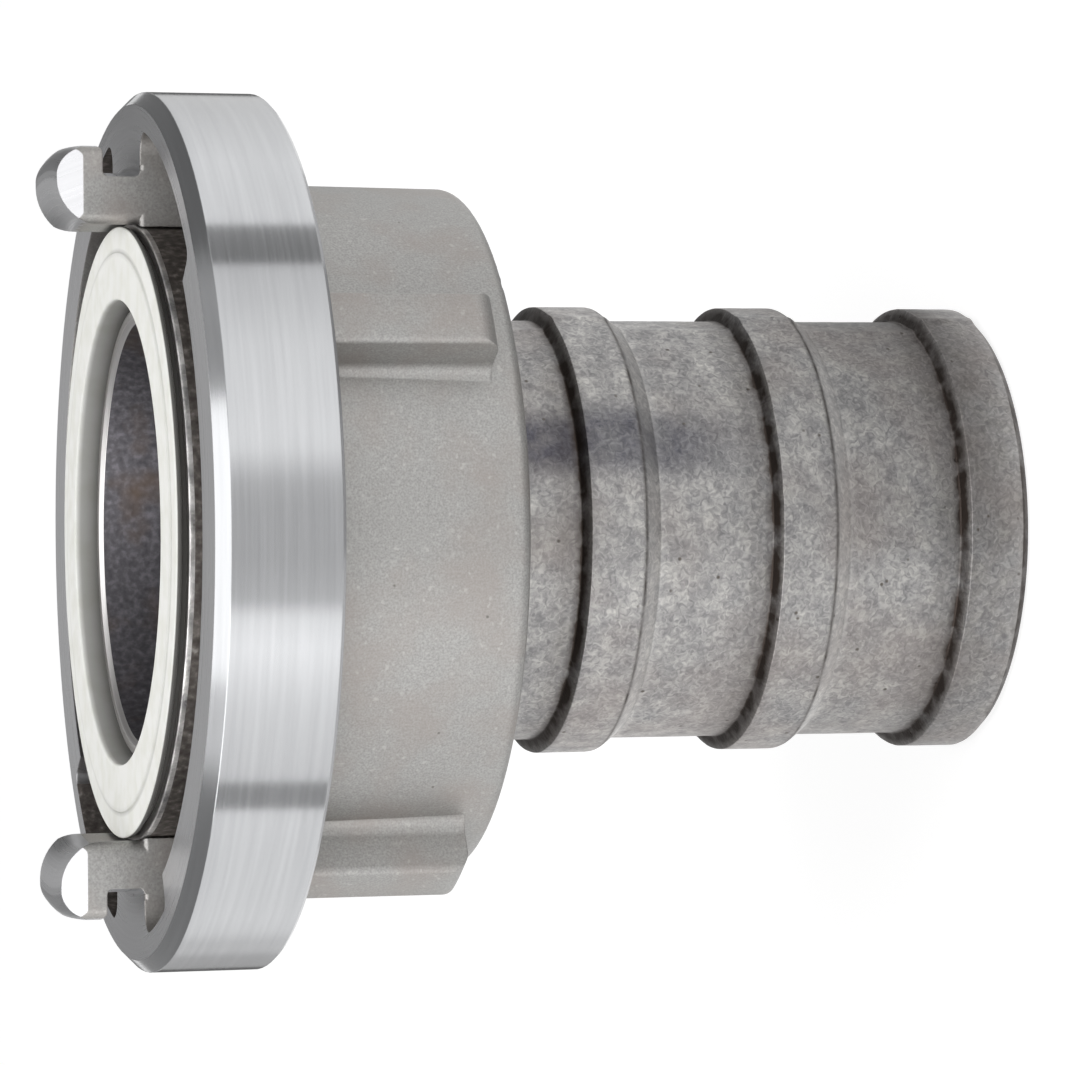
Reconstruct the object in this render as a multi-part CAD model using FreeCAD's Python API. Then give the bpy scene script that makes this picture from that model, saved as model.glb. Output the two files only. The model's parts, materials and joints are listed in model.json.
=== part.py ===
import FreeCAD, Part
import math
import os

# One half of a symmetrical quarter turn fire hose coupling, in millimetres.
# The half stands on the hose end of its tail, with its claws up: the water
# axis is Z, z = 0 is the tail's end, one claw points to +X and one to -X.
# Its four pieces are the claw ring, the hose tail that the ring swivels on,
# the spring wire ring that holds the two together and the rubber face seal.

# Clearances, and how far a cut runs past the face that it opens
swivel_gap = 0.3
hook_gap = 0.05
wire_seat_gap = 0.1
wire_side_gap = 0.15
seal_gap = 0.1
overshoot = 1.0

# The standard size, and the walls that stand round it in the claw ring
claw_spacing = 89.0
claw_room = 8.5
lip_depth = 5.0
rim_wall = 5.0
hub_wall = 5.5

# Flanged ring of the claw ring
flange_height = 125.6
channel_clearance = 1.9
web_thickness = 3.9
lip_thickness = 5.0
lip_ramp_rise = 0.5
ring_front_bevel = 1.8
ring_rear_bevel = 0.5

# Claws
claw_half_width = 10.5
claw_nose_half_width = 9.0
claw_reach = 11.6
claw_side_bevel = 3.5
claw_neck_thickness = 6.9
claw_hook_depth = 4.0
claw_hook_round = 0.8
claw_root_round = 3.0
claw_root_edge_round = 0.6
nose_inset = 4.8
nose_outer_round = 3.6
nose_inner_round = 6.4
claw_corner = 1.7

# Slots that let the other half's claws in, and the reliefs beside the claws
slot_angle = 50.0
relief_angle = 26.5
slot_corner = 1.5
ramp_overrun = 5.0

# Hub behind the ring
hub_length = 29.2
hub_draft = 0.3
hub_foot_round = 1.5
hub_rear_round = 1.8
hub_rear_wall = 7.5
hub_bore_bevel = 0.6

# Wrench lugs, spread evenly round the hub
lug_count = 4
first_lug_angle = 59.4
lug_height = 7.5
lug_width = 8.0
lug_length = 24.5
lug_foot_round = 2.4
lug_corner = 1.1
lug_end_round = 3.0

# Hose tail: waterway, tube and barbs
waterway_radius = 27.5
tube_wall = 3.2
barb_height = 2.0
barb_count = 3
first_barb_height = 10.0
barb_pitch = 28.35
barb_length = 9.0
barb_step = 1.0
barb_shoulder_round = 1.5
tail_end_bevel = 1.2
mouth_flare = 2.8
mouth_taper_length = 22.0
mouth_edge_depth = 1.3

# Hose tail: neck, guide flange and collar inside the hub
neck_wall = 6.5
waist_wall = 8.5
collar_thickness = 9.0
guide_thickness = 6.6
flank_slope = 3.0

# Seal seat in the tail's collar, and the seal
collar_wall = 1.7
seat_inner_wall = 2.05
seat_depth = 6.0
seal_inner_gap = 0.95
seal_overhang = 1.3
seal_bead_thickness = 0.75
seal_stand_out = 1.87
seal_step_inset = 3.6
seal_step = 0.2
seal_round = 0.35

# Spring wire ring
wire_radius = 1.25
hub_groove_depth = 1.2
tail_groove_depth = 2.7
wire_opening_angle = 14.0

# Radii of the claw ring that follow from the sizes above
bore_radius = claw_spacing / 2
lip_radius = bore_radius + claw_room
channel_radius = lip_radius + lip_depth
ring_radius = channel_radius + rim_wall
hub_radius = bore_radius + hub_wall
lug_radius = hub_radius + lug_height
hub_groove_radius = bore_radius + hub_groove_depth
claw_neck_radius = bore_radius + claw_neck_thickness
claw_hook_radius = claw_neck_radius + claw_hook_depth
claw_nose_radius = claw_hook_radius - nose_inset

# Radii of the tail, the wire and the seal
tube_radius = waterway_radius + tube_wall
barb_radius = tube_radius + barb_height
neck_radius = waterway_radius + neck_wall
waist_radius = waterway_radius + waist_wall
mouth_radius = waterway_radius + mouth_flare
neck_bore_radius = neck_radius + swivel_gap
collar_radius = bore_radius - swivel_gap
tail_groove_radius = collar_radius - tail_groove_depth
wire_ring_radius = hub_groove_radius - wire_seat_gap - wire_radius
hub_groove_half = wire_radius + wire_side_gap
tail_groove_half = wire_radius + swivel_gap
seat_outer_radius = collar_radius - collar_wall
seat_inner_radius = mouth_radius + seat_inner_wall
seal_inner_radius = seat_inner_radius + seal_inner_gap
seal_bead_radius = seat_outer_radius + seal_overhang
seal_step_radius = seal_bead_radius - seal_step_inset

# Heights
claw_tip = flange_height + claw_reach
claw_hook_back = flange_height + lip_thickness + lip_ramp_rise / 2 + hook_gap
channel_floor = flange_height - claw_reach - channel_clearance
ring_rear = channel_floor - web_thickness
lip_back = flange_height - lip_thickness - lip_ramp_rise / 2
hub_rear = ring_rear - hub_length
shoulder_height = hub_rear + hub_rear_wall
guide_rear = shoulder_height + swivel_gap
guide_front = guide_rear + guide_thickness
wire_height = guide_rear + guide_thickness / 2
seat_floor = flange_height - seat_depth
mouth_edge_height = flange_height - mouth_edge_depth

ORIGIN = FreeCAD.Vector(0, 0, 0)
UP = FreeCAD.Vector(0, 0, 1)


def around(centre, radius, degrees, rise=None):
    """Point at an angle on a small circle, or on an oval if its rise is given."""
    angle = math.radians(degrees)
    rise = radius if rise is None else rise
    return (centre[0] + radius * math.cos(angle), centre[1] + rise * math.sin(angle))


def outline_face(place, start, steps):
    """Flat face inside an outline that begins and ends at start.

    A step is a point for a straight run, or a pair of points (through, end)
    for an arc. place(a, b) puts the outline's two coordinates into space.
    """
    edges = []
    here = start
    closes_itself = isinstance(steps[-1][0], tuple) and steps[-1][1] == start
    for step in steps if closes_itself else steps + [start]:
        is_arc = isinstance(step[0], tuple)
        end = step[1] if is_arc else step
        if is_arc:
            edges.append(Part.Arc(place(*here), place(*step[0]), place(*end)).toShape())
        else:
            edges.append(Part.LineSegment(place(*here), place(*end)).toShape())
        here = end
    return Part.Face(Part.Wire(edges))


def turned(start, steps):
    """Solid turned about Z from an outline in radius and height."""
    face = outline_face(lambda r, z: FreeCAD.Vector(r, 0, z), start, steps)
    return face.revolve(ORIGIN, UP, 360)


def sector(inner, outer, first_angle, last_angle, low, high):
    """Ring sector between two angles, which run from +X towards -Y."""
    side = outline_face(
        lambda r, z: FreeCAD.Vector(r, 0, z), (inner, low), [(outer, low), (outer, high), (inner, high)]
    )
    solid = side.revolve(ORIGIN, UP, first_angle - last_angle)
    return at_angle(solid, first_angle)


def at_angle(shape, degrees):
    """Copy of a shape turned about Z, from +X towards -Y."""
    copy = shape.copy()
    copy.rotate(ORIGIN, UP, -degrees)
    return copy


def both_halves(shape):
    """A shape and its copy half a turn round, as one."""
    return shape.fuse(at_angle(shape, 180))


# Claw ring

def ring_and_hub():
    """Flanged ring, under-cut lip, hub and swivel bore, turned as one forging."""
    foot = (hub_radius + hub_foot_round, ring_rear - hub_foot_round)
    rear_radius = hub_radius - hub_draft
    rear_corner = (rear_radius - hub_rear_round, hub_rear + hub_rear_round)
    steps = [
        (channel_radius, channel_floor),
        (channel_radius, lip_back),
        (lip_radius, lip_back),
        (lip_radius, flange_height),
        (ring_radius - ring_front_bevel, flange_height),
        (ring_radius, flange_height - ring_front_bevel),
        (ring_radius, ring_rear + ring_rear_bevel),
        (ring_radius - ring_rear_bevel, ring_rear),
        (foot[0], ring_rear),
        (around(foot, hub_foot_round, 135), (hub_radius, foot[1])),
        (rear_radius, rear_corner[1]),
        (around(rear_corner, hub_rear_round, -45), (rear_corner[0], hub_rear)),
        (neck_bore_radius + hub_bore_bevel, hub_rear),
        (neck_bore_radius, hub_rear + hub_bore_bevel),
        (neck_bore_radius, shoulder_height),
        (bore_radius, shoulder_height),
        (bore_radius, wire_height - hub_groove_half),
        (hub_groove_radius, wire_height - hub_groove_half),
        (hub_groove_radius, wire_height + hub_groove_half),
        (bore_radius, wire_height + hub_groove_half),
    ]
    return turned((bore_radius, channel_floor), steps)


def claw_plan():
    """Hook seen along Z: parallel sides with rounded corners, as a tall prism."""
    flat = claw_half_width - claw_corner
    low = math.sqrt(bore_radius**2 - flat**2)
    high = math.sqrt(claw_hook_radius**2 - flat**2)
    steps = [
        (low, flat),
        (around((low + claw_corner, flat), claw_corner, 135), (low + claw_corner, claw_half_width)),
        (high - claw_corner, claw_half_width),
        (around((high - claw_corner, flat), claw_corner, 45), (high, flat)),
        (high, -flat),
        (around((high - claw_corner, -flat), claw_corner, -45), (high - claw_corner, -claw_half_width)),
        (low + claw_corner, -claw_half_width),
        (around((low + claw_corner, -flat), claw_corner, -135), (low, -flat)),
    ]
    face = outline_face(lambda x, y: FreeCAD.Vector(x, y, channel_floor), (low, -flat), steps)
    return face.extrude(UP * (claw_tip - channel_floor))


def root_plan():
    """Claw's root seen along Z: parallel sides that flare into the channel's wall, as a prism."""
    half, flare = claw_half_width, claw_root_round
    low = math.sqrt(bore_radius**2 - half**2) - overshoot
    centre = (math.sqrt((channel_radius - flare) ** 2 - (half + flare) ** 2), half + flare)
    angle = math.degrees(math.atan2(centre[1], centre[0]))
    wall = around((0, 0), channel_radius, angle)
    middle = around(centre, flare, (angle - 90) / 2)
    steps = [
        (low, half),
        (centre[0], half),
        (middle, wall),
        (ring_radius, wall[1]),
        (ring_radius, -wall[1]),
        (wall[0], -wall[1]),
        ((middle[0], -middle[1]), (centre[0], -half)),
    ]
    face = outline_face(lambda x, y: FreeCAD.Vector(x, y, 0), (low, -half), steps)
    return face.extrude(UP * (flange_height + overshoot))


def claw_taper():
    """Hook seen from outside: its sides lean in towards the nose."""
    bevel = claw_tip - claw_side_bevel
    steps = [
        (claw_half_width, channel_floor),
        (claw_half_width, bevel),
        (claw_nose_half_width, claw_tip),
        (-claw_nose_half_width, claw_tip),
        (-claw_half_width, bevel),
    ]
    face = outline_face(lambda y, z: FreeCAD.Vector(0, y, z), (-claw_half_width, channel_floor), steps)
    return face.extrude(FreeCAD.Vector(ring_radius, 0, 0))


def claw_root():
    """Claw's root across the channel, with its two front edges rounded."""
    radius = channel_radius + rim_wall / 2
    bar = turned(
        (bore_radius, channel_floor),
        [(radius, channel_floor), (radius, flange_height), (bore_radius, flange_height)],
    )
    bar = bar.common(root_plan())
    front = [edge for edge in bar.Edges if is_front_side(edge)]
    return bar.makeFillet(claw_root_edge_round, front)


def is_front_side(edge):
    """True for an edge on the front of a claw's root that runs along its side or its flare."""
    points = [vertex.Point for vertex in edge.Vertexes]
    in_front = min(point.z for point in points) > flange_height - swivel_gap
    at_side = min(abs(point.y) for point in points) > claw_half_width - swivel_gap
    in_channel = max(math.hypot(point.x, point.y) for point in points) < channel_radius + swivel_gap
    return in_front and at_side and in_channel


def claw():
    """One claw on +X: a hook with a rounded nose, and its root across the channel."""
    low = flange_height - web_thickness
    outer_start = claw_tip - nose_outer_round
    inner_start = claw_tip - nose_inner_round
    outer_centre = (claw_nose_radius, outer_start)
    inner_centre = (claw_nose_radius, inner_start)
    inner_width = claw_nose_radius - bore_radius
    bend = claw_neck_radius + claw_hook_round
    foot_bend = (bend, flange_height + claw_hook_round)
    hook_bend = (bend, claw_hook_back - claw_hook_round)
    hook_edge = (claw_hook_radius - claw_hook_round, claw_hook_back + claw_hook_round)
    nose = turned(
        (bore_radius, low),
        [
            (bend, low),
            (bend, flange_height),
            (around(foot_bend, claw_hook_round, -135), (claw_neck_radius, foot_bend[1])),
            (claw_neck_radius, hook_bend[1]),
            (around(hook_bend, claw_hook_round, 135), (bend, claw_hook_back)),
            (hook_edge[0], claw_hook_back),
            (around(hook_edge, claw_hook_round, -45), (claw_hook_radius, hook_edge[1])),
            (claw_hook_radius, outer_start),
            (around(outer_centre, nose_inset, 45, nose_outer_round), (claw_nose_radius, claw_tip)),
            (around(inner_centre, inner_width, 135, nose_inner_round), (bore_radius, inner_start)),
        ],
    )
    return nose.common(claw_plan()).common(claw_taper()).fuse(claw_root())


def lip_openings():
    """Slot on one side of the claw and short relief on the other, through the lip."""
    openings = []
    for first, last, end in ((0, slot_angle, slot_angle), (-relief_angle, 0, -relief_angle)):
        opening = sector(bore_radius, channel_radius, first, last, channel_floor, flange_height + overshoot)
        corner = at_angle(Part.Vertex(channel_radius, 0, flange_height), end)
        upright = [e for e in opening.Edges if is_upright(e) and e.distToShape(corner)[0] < swivel_gap]
        openings.append(opening.makeFillet(slot_corner, upright).cut(root_plan()))
    return openings[0].fuse(openings[1])


def is_upright(edge):
    """True for an edge that runs along Z."""
    along = edge.tangentAt(edge.FirstParameter)
    return abs(along.z) > abs(along.x) + abs(along.y)


def lip_ramp():
    """Wedge under the lip: it thins the lip's back where the other claw enters."""
    first, last = slot_angle, 180 - relief_angle
    middle = lip_back + lip_ramp_rise / 2
    room = sector(
        lip_radius - overshoot, channel_radius, first - ramp_overrun, last + ramp_overrun,
        lip_back - overshoot, middle + lip_ramp_rise,
    )
    half_chord = lip_radius * math.sin(math.radians((last - first) / 2))
    tilt = math.degrees(math.atan(lip_ramp_rise / 2 / half_chord))
    depth = lip_back - channel_floor
    block = Part.makeBox(ring_radius, 2 * ring_radius, depth, FreeCAD.Vector(0, -ring_radius, middle - depth))
    block.rotate(FreeCAD.Vector(0, 0, middle), FreeCAD.Vector(1, 0, 0), tilt)
    return room.common(at_angle(block, (first + last) / 2))


def wrench_lug():
    """Lug along the hub on +X, with a flared foot, rounded corners and a rounded end."""
    half = lug_width / 2
    flare = half + lug_foot_round
    root = (hub_radius + hub_groove_radius) / 2
    foot = math.sqrt(hub_radius**2 - flare**2) - hub_draft
    shoulder = foot + lug_foot_round
    flat = half - lug_corner
    side = lug_radius - lug_corner
    steps = [
        (foot, flare),
        (around((shoulder, flare), lug_foot_round, -135), (shoulder, half)),
        (side, half),
        (around((side, flat), lug_corner, 45), (lug_radius, flat)),
        (lug_radius, -flat),
        (around((side, -flat), lug_corner, -45), (side, -half)),
        (shoulder, -half),
        (around((shoulder, -flare), lug_foot_round, 135), (foot, -flare)),
        (root, -flare),
    ]
    low = ring_rear - lug_length
    high = ring_rear + web_thickness / 2
    section = outline_face(lambda x, y: FreeCAD.Vector(x, y, low), (root, flare), steps)
    end_centre = (lug_radius - lug_end_round, low + lug_end_round)
    end = turned(
        (bore_radius, low),
        [
            (end_centre[0], low),
            (around(end_centre, lug_end_round, -45), (lug_radius, end_centre[1])),
            (lug_radius, high),
            (bore_radius, high),
        ],
    )
    return section.extrude(UP * (high - low)).common(end)


def claw_ring():
    ring = ring_and_hub()
    ring = ring.cut(both_halves(lip_openings())).cut(both_halves(lip_ramp()))
    ring = ring.fuse(both_halves(claw()))
    for index in range(lug_count):
        ring = ring.fuse(at_angle(wrench_lug(), first_lug_angle + index * 360 / lug_count))
    return ring.removeSplitter()


# Hose tail

def barb_steps():
    """Outside of the tube from the hub down: each barb's steep step, land and rounded slope."""
    slope = barb_height + (math.sqrt(2) - 1) * barb_shoulder_round
    steps = []
    for index in reversed(range(barb_count)):
        root = first_barb_height + index * barb_pitch
        steps += [(tube_radius, root), (barb_radius, root - barb_step)]
        if index > 0:
            land_end = root - barb_length
            centre = (barb_radius - barb_shoulder_round, land_end)
            shoulder = [around(centre, barb_shoulder_round, turn) for turn in (-22.5, -45)]
            steps += [(barb_radius, land_end), tuple(shoulder), (tube_radius, land_end - slope)]
    steps += [(barb_radius, tail_end_bevel), (barb_radius - tail_end_bevel, 0)]
    return steps


def hose_tail():
    """Cast tail: collar with the seal's seat, waist, guide flange, neck and barbed tube."""
    neck_end = hub_rear + hub_bore_bevel
    steps = [
        (seat_outer_radius, seat_floor),
        (seat_outer_radius, flange_height),
        (collar_radius, flange_height),
        (collar_radius, flange_height - collar_thickness),
        (waist_radius, flange_height - collar_thickness - flank_slope),
        (waist_radius, guide_front + flank_slope),
        (collar_radius, guide_front),
        (collar_radius, wire_height + tail_groove_half),
        (tail_groove_radius, wire_height + tail_groove_half),
        (tail_groove_radius, wire_height - tail_groove_half),
        (collar_radius, wire_height - tail_groove_half),
        (collar_radius, guide_rear),
        (neck_radius, guide_rear),
        (neck_radius, neck_end),
        (tube_radius, neck_end - (neck_radius - tube_radius)),
    ]
    steps += barb_steps()
    steps += [
        (waterway_radius + tail_end_bevel / 2, 0),
        (waterway_radius, tail_end_bevel / 2),
        (waterway_radius, mouth_edge_height - mouth_taper_length),
        (mouth_radius, mouth_edge_height),
        (seat_inner_radius, mouth_edge_height),
    ]
    return turned((seat_inner_radius, seat_floor), steps)


# Face seal

def face_seal():
    """Rubber ring: a body in the seat and a bead that overhangs the collar's rim."""
    front = flange_height + seal_stand_out
    body_radius = seat_outer_radius - seal_gap
    bead_back = front - seal_step - seal_bead_thickness
    bead_front = front - seal_step
    outer_round = (seal_bead_radius - seal_round, bead_front - seal_round)
    inner_round = (seal_inner_radius + seal_round, front - seal_round)
    steps = [
        (body_radius, seat_floor),
        (body_radius, bead_back),
        (seal_bead_radius, bead_back),
        (seal_bead_radius, outer_round[1]),
        (around(outer_round, seal_round, 45), (outer_round[0], bead_front)),
        (seal_step_radius, bead_front),
        (seal_step_radius - seal_step, front),
        (inner_round[0], front),
        (around(inner_round, seal_round, 135), (seal_inner_radius, inner_round[1])),
    ]
    return turned((seal_inner_radius, seat_floor), steps)


# Retaining wire

def retaining_wire():
    """Split ring of round spring wire in the hub's groove."""
    centre = FreeCAD.Vector(0, 0, wire_height)
    turn = 360 - wire_opening_angle
    return Part.makeTorus(wire_ring_radius, wire_radius, centre, UP, 0, 360, turn)


os.makedirs("parts", exist_ok=True)
for make in (claw_ring, hose_tail, face_seal, retaining_wire):
    solid = make()
    solid.exportStep("parts/" + make.__name__ + ".step")
    print(make.__name__, len(solid.Solids), "solid", solid.isValid(), round(solid.Volume / 1000, 1), "cm3")
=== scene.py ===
import json
import bpy
import numpy as np
from mathutils import Matrix, Vector


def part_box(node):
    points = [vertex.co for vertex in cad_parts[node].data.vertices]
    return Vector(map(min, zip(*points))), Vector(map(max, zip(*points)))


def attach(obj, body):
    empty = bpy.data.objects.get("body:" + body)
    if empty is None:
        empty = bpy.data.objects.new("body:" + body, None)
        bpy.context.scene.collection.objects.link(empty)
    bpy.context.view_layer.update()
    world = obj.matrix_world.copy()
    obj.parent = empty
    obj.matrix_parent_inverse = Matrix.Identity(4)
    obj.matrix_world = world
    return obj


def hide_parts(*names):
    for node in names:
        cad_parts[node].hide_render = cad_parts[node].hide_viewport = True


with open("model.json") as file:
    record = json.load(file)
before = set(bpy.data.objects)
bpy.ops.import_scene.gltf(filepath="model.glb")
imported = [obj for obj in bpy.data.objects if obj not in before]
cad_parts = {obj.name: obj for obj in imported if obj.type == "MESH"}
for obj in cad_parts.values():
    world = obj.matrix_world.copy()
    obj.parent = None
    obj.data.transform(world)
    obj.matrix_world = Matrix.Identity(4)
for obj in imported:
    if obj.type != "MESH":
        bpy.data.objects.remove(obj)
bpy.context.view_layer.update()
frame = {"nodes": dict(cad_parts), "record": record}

# One half of a quarter turn fire hose coupling, in metres. The water axis is Z,
# the hose end of the tail stands on z = 0 and the claws point up, on +X and -X.
# Angles round the axis are counted from +X towards -Y, the side that is seen.

mm = 0.001
mounts = {mount["name"]: mount for mount in frame["record"]["mounts"]}
flange = mounts["claw_face"]["pos_m"][2]
waterway_radius = mounts["waterway"]["dims"]["r_mm"] * mm
barb_radius = mounts["hose_spigot"]["dims"]["r_mm"] * mm
ring_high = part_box("claw_ring")[1]
seal_low, seal_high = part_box("face_seal")
ring_radius = ring_high.y

# The claw ring, as the source sizes it
front_bevel = 1.8 * mm
ring_rear = flange - 17.4 * mm
channel_floor = flange - 13.5 * mm
channel_radius = ring_radius - 5.0 * mm
lip_radius = channel_radius - 5.0 * mm
lip_thickness = 5.0 * mm
claw_neck_radius = lip_radius - 1.6 * mm
claw_hook_radius = claw_neck_radius + 4.0 * mm
claw_hook_round = 0.8 * mm
claw_half_width = 10.5 * mm
claw_root_reach = claw_half_width + 3.0 * mm
claw_hook_back = flange + 5.3 * mm
claw_bevel_start = ring_high.z - 3.5 * mm
hub_rear = ring_rear - 29.2 * mm

# The hose tail, as the source sizes it
tube_radius = waterway_radius + 3.2 * mm
neck_radius = waterway_radius + 6.5 * mm
waist_radius = waterway_radius + 8.5 * mm
mouth_radius = waterway_radius + 2.8 * mm
seat_inner_radius = mouth_radius + 2.05 * mm
collar_radius = 44.2 * mm
seat_outer_radius = collar_radius - 1.7 * mm
groove_radius = collar_radius - 2.7 * mm
barb_roots = [(10.0 + 28.35 * index) * mm for index in range(3)]
barb_length = 9.0 * mm
barb_step = 1.0 * mm
barb_slope = 2.62 * mm
barb_shoulder_round = 1.5 * mm
tail_end_bevel = 1.2 * mm
seat_depth = 6.0 * mm
mouth_edge_depth = 1.3 * mm
edge_break = 0.6 * mm
mouth_taper_length = 22.0 * mm
guide_rear = hub_rear + 7.8 * mm
guide_thickness = 6.6 * mm
groove_half = 1.55 * mm
collar_thickness = 9.0 * mm
collar_rim = 0.8 * mm
flank_slope = 3.0 * mm
neck_end = hub_rear + 0.6 * mm

# The seal, as the source sizes it
seal_inner_radius = seat_inner_radius + 0.95 * mm
seal_body_radius = seat_outer_radius - 0.1 * mm
seal_step = 0.2 * mm
seal_bead_thickness = 0.75 * mm
seal_step_inset = 3.6 * mm
seal_round = 0.35 * mm


# Nodes and colours

def linear(code):
    """Linear colour of an sRGB hex code: below 0.04045 c / 12.92, above ((c + 0.055) / 1.055) to 2.4."""
    parts = [int(code[i:i + 2], 16) / 255 for i in (1, 3, 5)]
    return [c / 12.92 if c <= 0.04045 else ((c + 0.055) / 1.055) ** 2.4 for c in parts] + [1.0]


def new_material(name):
    """Empty node material, with its tree."""
    material = bpy.data.materials.new(name)
    material.use_nodes = True
    material.node_tree.nodes.clear()
    return material, material.node_tree


def add_node(tree, kind, settings=None, inputs=None):
    """Adds a node. An input is a value, or the output socket that it is linked from."""
    node = tree.nodes.new(kind)
    for name, value in (settings or {}).items():
        setattr(node, name, value)
    for name, value in (inputs or {}).items():
        if isinstance(value, bpy.types.NodeSocket):
            tree.links.new(value, node.inputs[name])
        else:
            node.inputs[name].default_value = value
    return node


def set_stops(ramp, stops):
    """Gives a colour ramp its stops, which are pairs of a place and a hex code."""
    ramp.elements.remove(ramp.elements[1])
    ramp.elements[0].position, ramp.elements[0].color = stops[0][0], linear(stops[0][1])
    for place, code in stops[1:]:
        ramp.elements.new(place).color = linear(code)


# Materials

def turning_lines(tree, coarse_size, fine_size):
    """Marks of the lathe tool: noise drawn long round the axis and short across it.

    The short direction is the height plus 2.2 radii, so the marks run round
    the axis on a cylinder, on a flat face and on a bevel alike. The real marks
    are finer, and are drawn as coarse as they need to show.
    """
    place = add_node(tree, "ShaderNodeTexCoord").outputs["Object"]
    height = add_node(tree, "ShaderNodeSeparateXYZ", inputs={"Vector": place}).outputs["Z"]
    flat = add_node(tree, "ShaderNodeVectorMath", {"operation": "MULTIPLY"}, {0: place, 1: (1, 1, 0)})
    radius = add_node(tree, "ShaderNodeVectorMath", {"operation": "LENGTH"}, {0: flat.outputs[0]})
    across = add_node(tree, "ShaderNodeMath", {"operation": "MULTIPLY_ADD"},
                      {0: radius.outputs["Value"], 1: 2.2, 2: height})
    slow = add_node(tree, "ShaderNodeVectorMath", {"operation": "SCALE"},
                    {0: flat.outputs[0], "Scale": 1 / (30 * mm)})
    layers = []
    for size in (coarse_size, fine_size):
        short = add_node(tree, "ShaderNodeMath", {"operation": "DIVIDE"}, {0: across.outputs[0], 1: size})
        lift = add_node(tree, "ShaderNodeCombineXYZ", inputs={"Z": short.outputs[0]})
        point = add_node(tree, "ShaderNodeVectorMath", {"operation": "ADD"},
                         {0: slow.outputs[0], 1: lift.outputs[0]})
        noise = add_node(tree, "ShaderNodeTexNoise", inputs={
            "Vector": point.outputs[0], "Scale": 1.0, "Detail": 2.0})
        layers.append(noise.outputs["Fac"])
    return layers


def turned_aluminium():
    """Turned forging, for the ring's outside: bright, with fine lines round it that streak the light.

    The gloss is drawn out across the lines, so dark and light bands of the
    room stay crisp round the ring.
    """
    material, tree = new_material("turned_aluminium")
    coarse, fine = turning_lines(tree, 1.1 * mm, 0.32 * mm)
    tone = add_node(tree, "ShaderNodeValToRGB", inputs={"Fac": coarse})
    set_stops(tone.color_ramp, [(0.3, "#b5b6b8"), (0.52, "#babbbd"), (0.75, "#c0c1c3")])
    rough = add_node(tree, "ShaderNodeMapRange", inputs={
        "Value": fine, "From Min": 0.3, "From Max": 0.7, "To Min": 0.16, "To Max": 0.2})
    edge = add_node(tree, "ShaderNodeBevel", {"samples": 4}, {"Radius": 0.2 * mm})
    bump = add_node(tree, "ShaderNodeBump", inputs={
        "Strength": 0.05, "Distance": 0.05 * mm, "Height": fine, "Normal": edge.outputs[0]})
    tangent = add_node(tree, "ShaderNodeTangent", {"direction_type": "RADIAL", "axis": "Z"})
    shader = add_node(tree, "ShaderNodeBsdfPrincipled", inputs={
        "Base Color": tone.outputs[0], "Metallic": 1.0, "Roughness": rough.outputs[0],
        "Anisotropic": 0.85, "Anisotropic Rotation": 0.25, "Tangent": tangent.outputs[0],
        "Normal": bump.outputs[0]})
    add_node(tree, "ShaderNodeOutputMaterial", inputs={"Surface": shader.outputs[0]})
    return material


def faced_aluminium():
    """Faced forging, for the flange face and the claw noses: a duller cut, in finer lines."""
    material, tree = new_material("faced_aluminium")
    coarse, fine = turning_lines(tree, 0.9 * mm, 0.3 * mm)
    tone = add_node(tree, "ShaderNodeValToRGB", inputs={"Fac": coarse})
    set_stops(tone.color_ramp, [(0.3, "#bababc"), (0.7, "#c0c0c2")])
    rough = add_node(tree, "ShaderNodeMapRange", inputs={
        "Value": fine, "From Min": 0.3, "From Max": 0.7, "To Min": 0.26, "To Max": 0.36})
    edge = add_node(tree, "ShaderNodeBevel", {"samples": 4}, {"Radius": 0.2 * mm})
    bump = add_node(tree, "ShaderNodeBump", inputs={
        "Strength": 0.05, "Distance": 0.05 * mm, "Height": fine, "Normal": edge.outputs[0]})
    shader = add_node(tree, "ShaderNodeBsdfPrincipled", inputs={
        "Base Color": tone.outputs[0], "Metallic": 1.0, "Roughness": rough.outputs[0],
        "Normal": bump.outputs[0]})
    add_node(tree, "ShaderNodeOutputMaterial", inputs={"Surface": shader.outputs[0]})
    return material


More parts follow.
